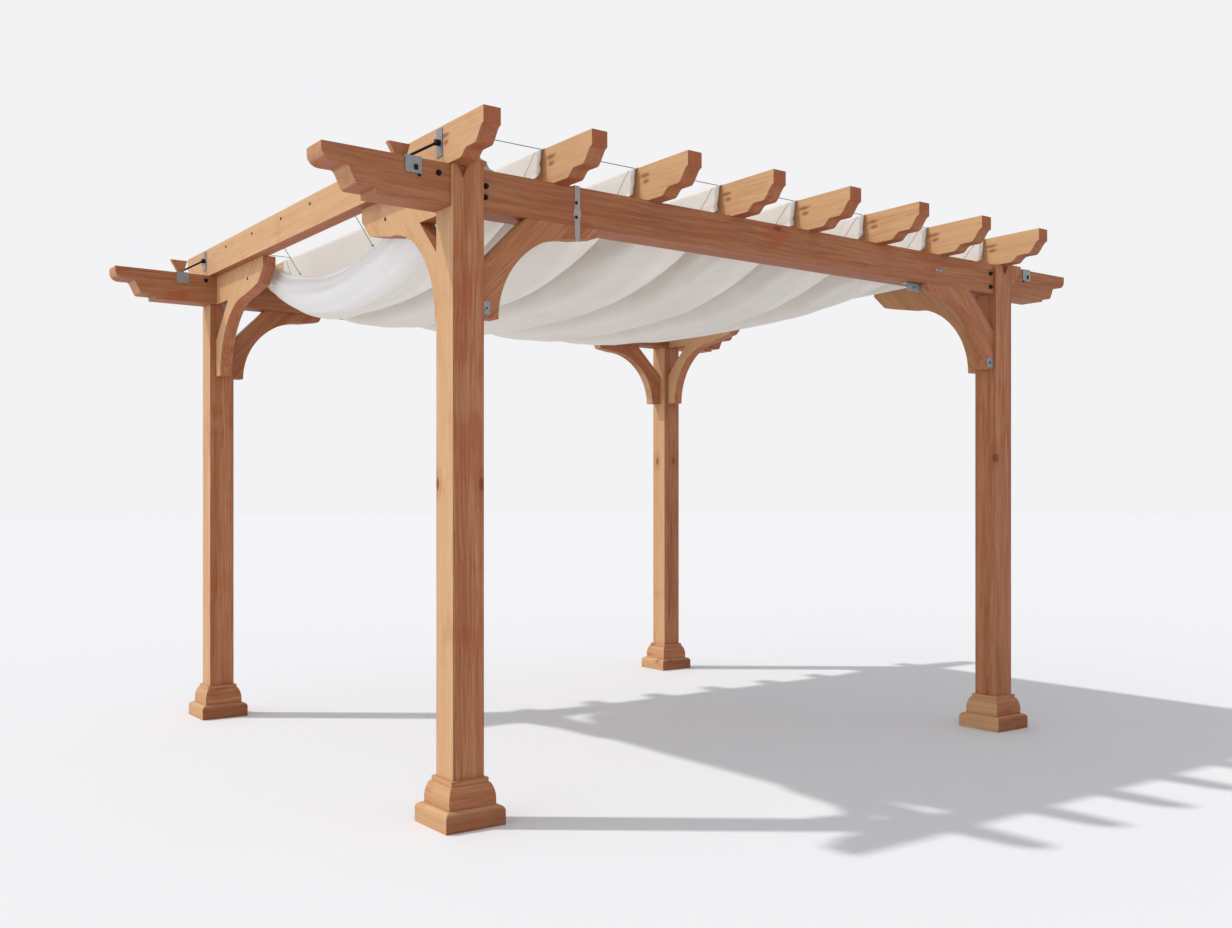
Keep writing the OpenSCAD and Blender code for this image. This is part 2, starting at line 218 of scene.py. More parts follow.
class Finish:
    """A node tree that is built node by node."""

    def __init__(self, tree):
        self.tree = tree
        self.tree.nodes.clear()

    def node(self, kind, settings=None, sockets=None, out=0):
        """Adds a node, sets its settings, then fills its sockets with values or other nodes' outputs."""
        made = self.tree.nodes.new(kind)
        for key, setting in (settings or {}).items():
            setattr(made, key, setting)
        for key, value in (sockets or {}).items():
            if isinstance(value, Value):
                self.tree.links.new(value.socket, made.inputs[key])
            elif made.inputs[key].type == "RGBA" and len(value) == 3:
                made.inputs[key].default_value = (*value, 1)
            else:
                made.inputs[key].default_value = value
        return Value(self, made.outputs[out]) if made.outputs else None

    def cloud(self, place, scale, detail=2.0, rough=0.5, out=0):
        return self.node("ShaderNodeTexNoise", None, {
            "Vector": place, "Scale": scale, "Detail": detail, "Roughness": rough}, out)

    def step(self, value, low, high):
        """Eases from 0 at low to 1 at high, either way round."""
        return self.node("ShaderNodeMapRange", {"interpolation_type": "SMOOTHSTEP"}, {
            "Value": value, "From Min": low, "From Max": high})

    def mix(self, share, first, second, how="MIX"):
        return self.node("ShaderNodeMix", {"data_type": "RGBA", "blend_type": how}, {
            0: share, 6: first, 7: second}, 2)

    def vector(self, operation, *terms):
        return self.node("ShaderNodeVectorMath", {"operation": operation}, dict(enumerate(terms)))

    def scaled(self, place, size):
        return self.node("ShaderNodeVectorMath", {"operation": "SCALE"}, {0: place, "Scale": size})

    def dot(self, first, second):
        return self.node("ShaderNodeVectorMath", {"operation": "DOT_PRODUCT"}, {
            0: first, 1: second}, "Value")

    def split(self, place):
        made = self.node("ShaderNodeSeparateXYZ", None, {0: place})
        outputs = made.socket.node.outputs
        return tuple(Value(self, outputs[k]) for k in range(3))

    def join(self, x, y, z):
        return self.node("ShaderNodeCombineXYZ", None, {0: x, 1: y, 2: z})


def new_finish(name):
    material = bpy.data.materials.new(name)
    material.use_nodes = True
    return material, Finish(material.node_tree)


FIBRE = 0.035
# Share of painted sunlight on each corner's post and braces: none at the front right, which stands in
# the canopy's shadow. The rafter braces get at least the share on the next line, which paints a warm lit
# tone on them.
POST_PAINTED_SUN = {"front_left": 1.0, "front_right": 0.0, "back_left": 1.0, "back_right": 1.0}
BRACE_PAINTED_SUN = 0.45
# Knots on the rafters' tails: distance from the middle, height, and half their length and height.
KNOT_MARKS = ((1.522, 2.744, 0.026, 0.007), (1.530, 2.716, 0.017, 0.007))
ALONG_X = (1, 0, 0)
ALONG_Y = (0, 1, 0)
ALONG_Z = (0, 0, 1)


def squeezed(f, place, along):
    """Shortens a place along the grain, so that what is drawn there stretches into fibres."""
    run = f.dot(place, along)
    return f.vector("SUBTRACT", place, f.scaled(along, run * (1 - FIBRE))), run


def knots(f, place, spread, marks):
    """Halo and heart of the knots: those scattered over the timber, and those at a marked place."""
    knot = f.node("ShaderNodeTexVoronoi", {"voronoi_dimensions": "2D"}, {"Vector": spread, "Scale": 1.5})
    halo = f.step(knot, 0.11, 0.015)
    heart = f.step(knot, 0.026, 0.012)
    wobble = (f.cloud(place, 3.0, 2.0) - 0.5) * 0.09
    _, y, z = f.split(place)
    for at_y, at_z, half_y, half_z in marks:
        far_y = (abs(y) + wobble - at_y) * (1 / half_y)
        far_z = (z + wobble * 0.3 - at_z) * (1 / half_z)
        far = far_y ** 2.0 + far_z ** 2.0
        halo = halo + f.step(far, 6.0, 0.5)
        heart = heart + f.step(far, 2.4, 0.2) * 0.75
    return halo, heart


def timber(name, along, painted_sun_share=1.0, red=0.0, deepen=0.06, marks=()):
    """Oiled softwood whose grain runs along a direction, or level round a base where it is None; faces
    turned left and up get painted sunlight, and faces turned down painted warm bounce light.
    """
    props = bpy.context.scene.pergola_timber
    material, f = new_finish(name)
    place = f.node("ShaderNodeTexCoord", None, None, "Object")
    normal = f.node("ShaderNodeTexCoord", None, None, "Normal")
    x, y, z = f.split(place)
    nx, ny, nz = f.split(normal)
    wave = f.scaled(f.vector("SUBTRACT", f.cloud(place, 1.1, 1.0, out=1), (0.5, 0.5, 0.5)), 0.035)
    bent = f.vector("ADD", place, wave)
    if along is None:
        on_x = f.step(abs(nx) - abs(ny), -0.05, 0.05)
        grain = f.mix(on_x, squeezed(f, bent, ALONG_X)[0], squeezed(f, bent, ALONG_Y)[0])
        spread = f.join(x + y, z * 1.6, 0.0)
        cut_end = 0.0
    else:
        grain, run = squeezed(f, bent, along)
        spread = f.join(x + y + z - run * sum(along), run * 0.5, 0.0)
        cut_end = f.step(abs(f.dot(normal, along)), 0.8, 0.95)
    halo, heart = knots(f, place, spread, marks)
    fibre = f.cloud(grain, 230.0, 3.0, 0.62)
    streak = f.cloud(grain, 95.0, 3.0, 0.55)
    worn_fibre = f.cloud(f.vector("ADD", grain, (3.1, 5.7, 2.3)), 135.0, 2.0)
    board = f.cloud(grain, 18.0, 2.0)
    growth = f.cloud(grain, 7.0, 1.0) * 22.0 + halo * 1.4
    ring = growth.sum("FRACT", growth)
    lines = f.step(ring, 0.05, 0.4) * f.step(ring, 0.95, 0.6)
    tint = f.step(streak * 0.55 + board * 0.45, 0.34, 0.66)
    colour = f.mix(tint, props.pale[:], props.deep[:])
    colour = f.mix(lines * 0.3, colour, props.deep[:])
    colour = f.mix(f.step(fibre, 0.52, 0.74) * 0.34, colour, props.line[:])
    colour = f.mix(f.step(worn_fibre, 0.6, 0.72) * 0.34, colour, props.silver[:])
    colour = f.mix(deepen, colour, props.line[:])
    # Painted sunlight: a pale tone with warm streaks that stands in for direct sun.
    painted_sunlight = f.mix(tint * 0.45 + lines * 0.12, props.painted_sunlight[:], props.painted_sun_streak[:])
    painted_sunlight = f.mix(f.step(fibre, 0.5, 0.78) * 0.2, painted_sunlight, props.deep[:])
    # Where the painted sunlight goes: faces turned to the left and up, scaled by each piece's share.
    sunny = f.step(nz * 0.55 - nx, 0.1, 0.75) * (props.painted_sun_level * painted_sun_share)
    colour = f.mix(sunny, colour, painted_sunlight)
    # Painted bounce light: faces turned down are warmed toward the stain colour.
    below = f.step(nz, -0.5, -0.9)
    patch = f.cloud(place, 4.2, 3.0) + (streak - 0.5) * 0.5
    blotch = f.step(patch, 0.56, 0.72) * (0.38 + red) * (1.0 - sunny * 0.6)
    colour = f.mix(blotch, colour, props.stain_and_bounce[:])
    colour = f.mix(below * 0.3, colour, props.stain_and_bounce[:])
    crack = f.step(abs(f.cloud(grain, 26.0, 1.0) - 0.5), 0.006, 0.0015) * f.step(board, 0.56, 0.64)
    colour = f.mix(crack * 0.6, colour, props.line[:])
    colour = f.mix(f.step(halo, 0.2, 1.0) * 0.3, colour, props.stain_and_bounce[:])
    colour = f.mix(heart.sum("MINIMUM", heart, 1.0) * 0.75, colour, props.line[:])
    colour = f.mix(cut_end * 0.4, colour, props.stain_and_bounce[:])
    relief = lines * 0.3 + fibre * 0.8 - crack * 1.5 - heart * 0.3
    worn = f.node("ShaderNodeBevel", {"samples": 4}, {"Radius": 0.004})
    bump = f.node("ShaderNodeBump", None, {
        "Strength": 0.28, "Distance": 0.001, "Height": relief, "Normal": worn})
    skin = f.node("ShaderNodeBsdfPrincipled", None, {
        "Base Color": colour, "Roughness": f.step(fibre, 0.2, 0.8) * 0.18 + 0.52, "Normal": bump,
        "Specular IOR Level": 0.3})
    f.node("ShaderNodeOutputMaterial", None, {"Surface": skin})
    return material


def metal(name, colour, rough, spangle, shine=0.85):
    """Galvanised or blackened steel with a fine crystal pattern and dull scuffs."""
    material, f = new_finish(name)
    place = f.node("ShaderNodeTexCoord", None, None, "Object")
    crystal = f.node("ShaderNodeTexVoronoi", None, {"Vector": place, "Scale": 130.0}, "Color")
    leaf = f.split(crystal)[0]
    scuff = f.step(f.cloud(place, 36.0, 4.0, 0.6), 0.5, 0.72)
    dark = tuple(v * 0.62 for v in colour)
    skin_colour = f.mix(leaf * spangle + scuff * 0.45, colour, dark)
    bump = f.node("ShaderNodeBump", None, {
        "Strength": 0.2, "Distance": 0.0006, "Height": f.cloud(place, 300.0, 3.0)})
    skin = f.node("ShaderNodeBsdfPrincipled", None, {
        "Base Color": skin_colour, "Metallic": shine, "Roughness": leaf * 0.12 + scuff * 0.15 + rough,
        "Normal": bump})
    f.node("ShaderNodeOutputMaterial", None, {"Surface": skin})
    return material


THREADS = 95.0
TURNED_HEM = 0.022
# Painted sunlight on the end band: full up to the second distance from the end hem, gone by the first.
PAINTED_SUN_REACH = (0.26, 0.18)
LIGHT_THROUGH = 0.26
CREAM_SHADE = tone(232, 224, 211)
SLUB_SHADE = tone(218, 210, 198)
PUCKER_PAINTED_SHADE = tone(214, 206, 194)
# Painted sunlight on the end band.
PAINTED_SUN_BAND = tone(253, 253, 254)
HEM_PAINTED_SHADE = tone(204, 204, 208)


def weave(name):
    """Off-white woven cloth with a turned hem greyed by painted shade, an end band whitened by painted
    sunlight, thin brown diagonal lines by the rafters and fine puckers darkened by painted shade.
    """
    props = bpy.context.scene.pergola_cloth
    material, f = new_finish(name)
    cut = f.node("ShaderNodeUVMap", {"uv_map": "Cut"})
    from_end = f.split(cut)[0]
    hem = f.node("ShaderNodeUVMap", {"uv_map": "Hem"})
    to_crest, from_hem, _ = f.split(hem)
    warp, weft = (f.node("ShaderNodeTexWave", {"bands_direction": way}, {
        "Vector": cut, "Scale": THREADS, "Distortion": 1.2, "Detail": 1.0}) for way in "XY")
    slub = f.cloud(f.vector("MULTIPLY", cut, (9, 120, 1)), 3.0, 2.0)
    cloudy = f.cloud(cut, 2.2, 3.0, 0.5)
    near = f.step(from_hem, 0.30, 0.02)
    ripple = f.cloud(f.vector("MULTIPLY", cut, (58, 3.5, 1)), 1.0, 2.0)
    # Thin brown diagonal lines that run up to each rafter's crest.
    slant = abs(from_hem - (to_crest * 0.85 + 0.03))
    diagonal_line = f.step(slant, 0.0045, 0.0018) * f.step(to_crest, 0.24, 0.2)
    turned = f.step(from_hem, TURNED_HEM, TURNED_HEM - 0.003)
    stitch = f.step(abs(from_hem - TURNED_HEM), 0.0022, 0.0008)
    colour = f.mix(f.step(cloudy, 0.35, 0.75) * 0.25, props.colour[:], CREAM_SHADE)
    colour = f.mix(slub * 0.1, colour, SLUB_SHADE)
    # Painted shade in the puckers near the hems, along their creases.
    colour = f.mix(near * f.step(ripple, 0.5, 0.75) * 0.2, colour, PUCKER_PAINTED_SHADE)
    # Painted sunlight: the end band is whitened where rafter 1 shades it.
    colour = f.mix(f.step(from_end, *PAINTED_SUN_REACH) * 0.8, colour, PAINTED_SUN_BAND)
    # Painted shade: the turned hem is greyed as if its edge were in shade.
    colour = f.mix(turned * 0.45, colour, HEM_PAINTED_SHADE)
    colour = f.mix(diagonal_line * 0.8 + stitch * 0.25, colour, props.seam[:])
    creases = near * ripple * 2.2 + f.cloud(cut, 22.0, 3.0, 0.5) * 0.5
    relief = warp * 0.12 + weft * 0.12 + creases - stitch * 0.5
    bump = f.node("ShaderNodeBump", None, {"Strength": 0.45, "Distance": 0.002, "Height": relief})
    skin = f.node("ShaderNodeBsdfPrincipled", None, {
        "Base Color": colour, "Roughness": f.step(cloudy, 0.2, 0.8) * 0.12 + 0.78, "Normal": bump,
        "Specular IOR Level": 0.2})
    through = f.node("ShaderNodeBsdfTranslucent", None, {"Color": colour, "Normal": bump})
    both = f.node("ShaderNodeMixShader", None, {0: LIGHT_THROUGH, 1: skin, 2: through})
    f.node("ShaderNodeOutputMaterial", None, {"Surface": both})
    return material


def coat(node, material):
    """Gives a CAD node one finish."""
    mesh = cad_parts[node].data
    mesh.materials.clear()
    mesh.materials.append(material)


def deselect():
    if bpy.context.mode != "OBJECT":
        bpy.ops.object.mode_set(mode="OBJECT")
    bpy.ops.object.select_all(action="DESELECT")


def settle(piece, name, material):
    """Names a finished piece, rests its place in its mesh and lets it ride on the frame."""
    deselect()
    piece.select_set(True)
    bpy.context.view_layer.objects.active = piece
    bpy.ops.object.transform_apply(location=True, rotation=True, scale=True)
    piece.name = name
    piece.data.name = name
    piece.data.materials.clear()
    piece.data.materials.append(material)
    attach(piece, "root")
    return piece


def copies(piece, places):
    """Copies a modelled piece to each place, each copy with its own mesh, and joins them."""
    made = []
    for place in places:
        deselect()
        piece.select_set(True)
        bpy.context.view_layer.objects.active = piece
        bpy.ops.object.duplicate()
        twin = bpy.context.view_layer.objects.active
        twin.matrix_world = place @ twin.matrix_world
        made.append(twin)
    bpy.data.objects.remove(piece)
    deselect()
    for twin in made:
        twin.select_set(True)
    bpy.context.view_layer.objects.active = made[0]
    bpy.ops.object.transform_apply(location=True, rotation=True, scale=True)
    bpy.ops.object.join()
    return made[0]


def begin(add, **size):
    """Adds a primitive with nothing else selected, and rests its place in its mesh."""
    deselect()
    add(**size)
    bpy.ops.object.transform_apply(location=True, rotation=True, scale=True)
    return bpy.context.view_layer.objects.active


def begin_disc(sides, radius, depth, y):
    """Starts a disc that looks along -Y, with its middle at y."""
    return begin(bpy.ops.mesh.primitive_cylinder_add, vertices=sides, radius=radius, depth=depth,
                 location=(0, y, 0), rotation=(math.pi / 2, 0, 0))


def begin_block(location, size):
    return begin(bpy.ops.mesh.primitive_cube_add, size=1, location=location, scale=size)


def begin_upright(location, wide, tall):
    """Starts an upright sheet that looks along -Y."""
    deselect()
    bpy.ops.mesh.primitive_plane_add(size=1, location=location, rotation=(math.pi / 2, 0, 0))
    sheet = bpy.context.view_layer.objects.active
    sheet.scale = (wide, tall, 1)
    bpy.ops.object.transform_apply(location=True, rotation=True, scale=True)
    return sheet


def thicken(sheet, thickness, offset):
    """Gives the active sheet its thickness: offset is 0 for both sides, and 1 or -1 for one of them."""
    wall = sheet.modifiers.new("Thickness", "SOLIDIFY")
    wall.thickness = thickness
    wall.offset = offset
    bpy.ops.object.modifier_apply(modifier=wall.name)


def across_y(edge, least):
    """Whether an edge runs through a plate's thickness, from its front to its back."""
    return abs(edge.verts[0].co.y - edge.verts[1].co.y) > least


def pick(kind, test):
    """In edit mode, selects the faces or edges that pass a test."""
    piece = bpy.context.view_layer.objects.active
    shape = bmesh.from_edit_mesh(piece.data)
    bpy.ops.mesh.select_mode(type=kind)
    bpy.ops.mesh.select_all(action="DESELECT")
    found = shape.faces if kind == "FACE" else shape.edges
    for part in found:
        if test(part):
            part.select_set(True)
    shape.select_flush_mode()
    bmesh.update_edit_mesh(piece.data)


def facing(point, toward):
    """Turns a piece that is modelled looking along -Y so that it looks toward a direction at a point."""
    turn = Vector((0, -1, 0)).rotation_difference(Vector(toward)).to_matrix().to_4x4()
    return Matrix.Translation(point) @ turn


class PERGOLA_OT_timber(Operator):
    """Finish the posts, bases, beams, rafters and braces in oiled softwood"""

    bl_idname = "pergola.timber"
    bl_label = "Finish timber"

    def execute(self, context):
        rings = timber("plinth_softwood", None, 0.9, 0.1, 0.42)
        red = timber("moulding_softwood", None, 0.75, 0.3)
        level = timber("beam_softwood", ALONG_X, 1.0, 0.1, 0.22)
        crosswise = timber("rafter_softwood", ALONG_Y, 1.0, 0.0, 0.22, KNOT_MARKS)
        slope = math.sqrt(0.5)
        # Each corner gets its own copies of the timber, differing only in their share of painted
        # sunlight.
        for corner, painted_sun_share in POST_PAINTED_SUN.items():
            inward = slope if corner.endswith("left") else -slope
            backward = slope if corner.startswith("front") else -slope
            upright = timber(f"post_softwood_{corner}", ALONG_Z, painted_sun_share)
            knee_x = timber(f"beam_brace_softwood_{corner}", (inward, 0, slope), painted_sun_share, 0.1)
            knee_painted_sun = max(painted_sun_share, BRACE_PAINTED_SUN)
            knee_y = timber(f"rafter_brace_softwood_{corner}", (0, backward, slope), knee_painted_sun, 0.1)
            coat(f"post_{corner}", upright)
            coat(f"plinth_{corner}", rings)
            coat(f"base_mould_{corner}", red)
            coat(f"beam_brace_{corner}", knee_x)
            coat(f"rafter_brace_{corner}", knee_y)
        for end in ("front", "back"):
            coat(f"{end}_beam", level)
        for i in range(len(RAFTERS)):
            coat(f"rafter_{i + 1}", crosswise)
        return {"FINISHED"}


class PERGOLA_OT_metal(Operator):
    """Finish the wires, ties, saddles, plates and stay rods"""

    bl_idname = "pergola.metal"
    bl_label = "Finish metal"

    def execute(self, context):
        props = context.scene.pergola_fittings
        zinc = metal("galvanised", props.zinc[:], 0.38, 0.5)
        black = metal("blackened", props.black[:], 0.5, 0.2)
        for node in ("guide_wires", "wire_anchors", "end_ties", "beam_saddles", "rafter_plates"):
            coat(node, zinc)
        coat("stay_rods", black)
        return {"FINISHED"}


BAY_STEPS = 56
CREST_STEPS = 4
ROWS = 104
FULLNESS = 8
SHOULDER = 0.03
BAND_SHARE = 0.8
SIDE_ROOM = 0.016
LEFT_ROOM = 0.110
LAST_LAP = 0.024
HEM_OVER = 0.092
HEM_BEHIND = 0.174
PASSING_BEAM = (0.50, 0.56)
ABOVE_RAFTER = 0.0005
FOLD_PITCH = 0.165
# Puckers: height, reach from the edge, and pitch.
HEM_PUCKER = (0.005, 0.16, 0.058)
END_PUCKER = (0.008, 0.16, 0.052)
PUFF_AT = 0.09
PUFF_WIDE = 0.07
PUFF_SHARE = 0.3


def across_cloth():
    """Columns across the cloth: x, share of the sag, nearness to the end hem, and share of its band."""
    columns = []
    for bay in range(len(RAFTERS) - 1):
        start = RAFTERS[bay][1].x + (LEFT_ROOM if bay == 0 else SIDE_ROOM)
        low, high = RAFTERS[bay + 1][0].x, RAFTERS[bay + 1][1].x
        for k in range(BAY_STEPS + 1):
            u = (1 - math.cos(math.pi * k / BAY_STEPS)) / 2
            from_end = u if bay == 0 else 1
            edge = abs(2 * u - 1) ** FULLNESS
            share, band = (1, edge) if from_end < 0.5 else (max(SHOULDER, 1 - edge), 0)
            columns.append((start + u * (low - SIDE_ROOM - start), share, 1 - from_end, band))
        lap = high - low if bay < len(RAFTERS) - 2 else LAST_LAP
        columns += [(low + lap * k / CREST_STEPS, 0, 0, 0) for k in range(CREST_STEPS + 1)]
    return np.array(columns)


def next_crests():
    """For each column, the column where the cloth reaches the next rafter."""
    bay = BAY_STEPS + 1
    whole = bay + CREST_STEPS + 1
    return np.array([max(k, k // whole * whole + bay) for k in range((len(RAFTERS) - 1) * whole)])


def ease(values, low, high):
    t = np.clip((values - low) / (high - low), 0, 1)
    return t * t * (3 - 2 * t)


def ripple_map(first, second, scale, seed):
    """Smooth noise over two running lengths of the cloth."""
    places = zip(first.ravel(), second.ravel())
    heights = [noise.noise(Vector((a * scale, b * scale, seed))) for a, b in places]
    return np.array(heights).reshape(first.shape)


def pucker(size, from_edge, run, turn):
    """Short waves along the cloth that die away from an edge."""
    height, reach, pitch = size
    return height * np.exp(-from_edge / reach) * np.sin(2 * np.pi * run / pitch + turn)


def hang_cloth(props):
    """The cloth's points, laid over the rafters and hung in swags between them, with folds."""
    columns = across_cloth()
    x, share, end, band = (columns[:, k][:, None] for k in range(4))
    t = np.linspace(-1, 1, ROWS + 1)[None, :]
    crest = RAFTER_TOP + props.thickness / 2 + ABOVE_RAFTER
    hem = props.hem_sag + (props.corner_sag - props.hem_sag) * end
    drawn_up = np.clip(x / RAFTERS[-1][0].x, 0, None) ** 3
    middle_sag = props.mid_sag - (props.mid_sag - props.right_sag) * drawn_up
    sag = hem + (middle_sag - hem) * (1 - np.abs(t) ** (3 - end))
    drop = share * sag - band * np.minimum(props.band, BAND_SHARE * sag)
    inset = HEM_OVER + (HEM_BEHIND - HEM_OVER) * ease(share, *PASSING_BEAM)
    points = np.stack(np.broadcast_arrays(x, t * (-POST_Y - inset), crest - drop), -1)
    steps = np.linalg.norm(np.diff(points, axis=0), axis=2)
    run = np.vstack([np.zeros((1, ROWS + 1)), np.cumsum(steps, 0)])
    rows = np.linalg.norm(np.diff(points, axis=1), axis=2)
    down = np.hstack([np.zeros((len(columns), 1)), np.cumsum(rows, 1)])
    from_hem = np.minimum(down, down[:, -1:] - down)
    to_crest = run[next_crests()] - run
    middle = np.broadcast_to(run[:, ROWS // 2][:, None], run.shape)
    slack = ease(np.broadcast_to(share, run.shape), 0.1, 0.4)
    wander = ripple_map(middle, down, 1.6, 3.1)
    swell = 0.55 + 0.9 * np.clip(ripple_map(middle * 0.7, down * 0.5, 1.9, 8.4), -0.5, 0.6)
    lift = props.fold * swell * np.sin(2 * np.pi * middle / FOLD_PITCH + 5.0 * wander)
    lift += pucker(HEM_PUCKER, from_hem, run, 7.0 * wander)
    lift += pucker(END_PUCKER, run, run, 6.0 * wander)
    lift += 0.003 * ripple_map(middle, down, 7.0, 1.7) + 0.0012 * ripple_map(middle, down, 19.0, 4.2)
    tangent = np.gradient(points, axis=0)
    length = np.gradient(points, axis=1)
    normal = np.cross(tangent, length)
    normal /= np.linalg.norm(normal, axis=2, keepdims=True)
    points = points + normal * (lift * slack)[..., None]
    inner = 1 - ease(np.abs(np.broadcast_to(t, run.shape)), 0.7, 1.0)
    puff = np.exp(-((run - PUFF_AT) / PUFF_WIDE) ** 2) * inner
    points[..., 0] -= PUFF_SHARE * LEFT_ROOM * puff
    return points, run, down, from_hem, to_crest


class PERGOLA_OT_canopy(Operator):
    """Hang the shade cloth over the rafters, in swags, with its end hem tied up"""

    bl_idname = "pergola.canopy"
    bl_label = "Hang canopy"

    def execute(self, context):
        props = context.scene.pergola_cloth
        points, run, down, from_hem, to_crest = hang_cloth(props)
        across, along = run.shape
        deselect()
        bpy.ops.mesh.primitive_grid_add(x_subdivisions=across - 1, y_subdivisions=along - 1, size=2)
        cloth = context.view_layer.objects.active
        mesh = cloth.data
        flat = np.empty(len(mesh.vertices) * 3)
        mesh.vertices.foreach_get("co", flat)
        flat = flat.reshape(-1, 3)
        i = np.rint((flat[:, 0] + 1) / 2 * (across - 1)).astype(int)
        j = np.rint((flat[:, 1] + 1) / 2 * (along - 1)).astype(int)
        mesh.vertices.foreach_set("co", points[i, j].ravel())
        corner = np.empty(len(mesh.loops), int)
        mesh.loops.foreach_get("vertex_index", corner)
        i, j = i[corner], j[corner]
        mesh.uv_layers[0].name = "Cut"
        mesh.uv_layers["Cut"].data.foreach_set("uv", np.stack([run[i, j], down[i, j]], -1).ravel())
        mesh.uv_layers.new(name="Hem").data.foreach_set(
            "uv", np.stack([to_crest[i, j], from_hem[i, j]], -1).ravel())
        mesh.update()
        bpy.ops.object.shade_smooth()
        thicken(cloth, props.thickness, 0)
        settle(cloth, "shade_canopy", weave("shade_cloth"))
        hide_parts("canopy")
        return {"FINISHED"}


def bolt_head(props):
    """A hexagon head with a domed top on a round washer, looking along -Y."""
    washer = begin_disc(24, props.washer / 2, 0.003, -0.0015)
    bpy.ops.object.mode_set(mode="EDIT")
    pick("EDGE", lambda e: all(v.co.y < -0.002 for v in e.verts))
    bpy.ops.mesh.bevel(offset=0.0008, segments=1, affect="EDGES")
    bpy.ops.object.mode_set(mode="OBJECT")
    head = begin_disc(6, props.bolt / 2, 0.010, -0.008)
    bpy.ops.object.mode_set(mode="EDIT")
    pick("FACE", lambda face: face.normal.y < -0.9)
    bpy.ops.mesh.inset(thickness=0.002, depth=0.0015)
    pick("EDGE", lambda e: abs(e.calc_length()) > 0.0085 and all(v.co.y < -0.009 for v in e.verts))
    bpy.ops.mesh.bevel(offset=0.0006, segments=1, affect="EDGES")
    bpy.ops.object.mode_set(mode="OBJECT")
    washer.select_set(True)
    bpy.context.view_layer.objects.active = head
    bpy.ops.object.join()
    return head


# Bolts on the beams' faces: x and z.
OUTER_BOLTS = ((POST_X - 0.055, 2.585), (POST_X + 0.158, 2.565), (POST_X + 0.155, 2.520),
               (-POST_X - 0.170, 2.575), (-POST_X - 0.170, 2.500))
INNER_BOLTS = ((POST_X - 0.030, 2.600), (-POST_X + 0.030, 2.600))


class PERGOLA_OT_bolts(Operator):
    """Bolt the beams to the posts, with heads on both faces of each beam"""

    bl_idname = "pergola.bolts"
    bl_label = "Add bolts"

    def execute(self, context):
        props = context.scene.pergola_fittings
        places = []
        for toward in (-1, 1):
            on_beam = toward * -BEAM_FACE
            for x, z in OUTER_BOLTS:
                places.append(facing((x, on_beam, z), (0, toward, 0)))
        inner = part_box("back_beam")[0].y
        for toward in (-1, 1):
            for x, z in INNER_BOLTS:
                places.append(facing((x, -toward * inner, z), (0, toward, 0)))
        bolts = copies(bolt_head(props), places)
        settle(bolts, "beam_bolts", bpy.data.materials["blackened"])
        return {"FINISHED"}


# Plates: width, height, thickness, and the screw's radius.
LEFT_PLATE = (0.030, 0.052, 0.003, 0.006)
RIGHT_PLATE = (0.056, 0.056, 0.003, 0.010)
SCREW_PLATE = (0.024, 0.024, 0.003, 0.007)
TAG = (0.056, 0.016, 0.002, 0.004)
TAG_X = 1.180


def fixing_plate(width, height, thick, hole):
    """A pressed plate with rounded corners and a raised screw in the middle, looking along -Y."""
    plate = begin_block((0, -thick / 2, 0), (width, thick, height))
    bpy.ops.object.mode_set(mode="EDIT")
    pick("EDGE", lambda e: across_y(e, thick / 2))
    bpy.ops.mesh.bevel(offset=min(width, height) * 0.12, segments=3, affect="EDGES")
    pick("FACE", lambda face: face.normal.y < -0.9)
    bpy.ops.mesh.inset(thickness=0.0012, depth=0.0008)
    bpy.ops.object.mode_set(mode="OBJECT")
    begin_disc(16, hole, 0.003, -thick - 0.0015)
    bpy.ops.object.mode_set(mode="EDIT")
    pick("FACE", lambda face: face.normal.y < -0.9)
    bpy.ops.mesh.inset(thickness=hole * 0.35, depth=0)
    bpy.ops.mesh.inset(thickness=0.0003, depth=-0.0022)
    bpy.ops.object.mode_set(mode="OBJECT")
    plate.select_set(True)
    bpy.context.view_layer.objects.active = plate
    bpy.ops.object.join()
    return plate


class PERGOLA_OT_plates(Operator):
    """Fix the knee braces' feet with small galvanised plates"""

    bl_idname = "pergola.plates"
    bl_label = "Add brace plates"

    def execute(self, context):
        zinc = bpy.data.materials["galvanised"]
        foot_x = -POST_X - POST_W - 0.036
        left, right, tags = [], [], []
        for toward in (-1, 1):
            on_brace = toward * -BEAM_BRACE[0].y
            left.append(facing((-foot_x - 0.014, on_brace, BEAM_BRACE[0].z + 0.040), (0, toward, 0)))
            right.append(facing((foot_x, on_brace, BEAM_BRACE[0].z + 0.038), (0, toward, 0)))
            tags.append(facing((TAG_X, toward * -BEAM_FACE, BEAM_BOTTOM + 0.080), (0, toward, 0)))
        settle(copies(fixing_plate(*LEFT_PLATE), left), "left_foot_plates", zinc)
        settle(copies(fixing_plate(*RIGHT_PLATE), right), "right_foot_plates", zinc)
        settle(copies(fixing_plate(*TAG), tags), "beam_tags", zinc)
        return {"FINISHED"}


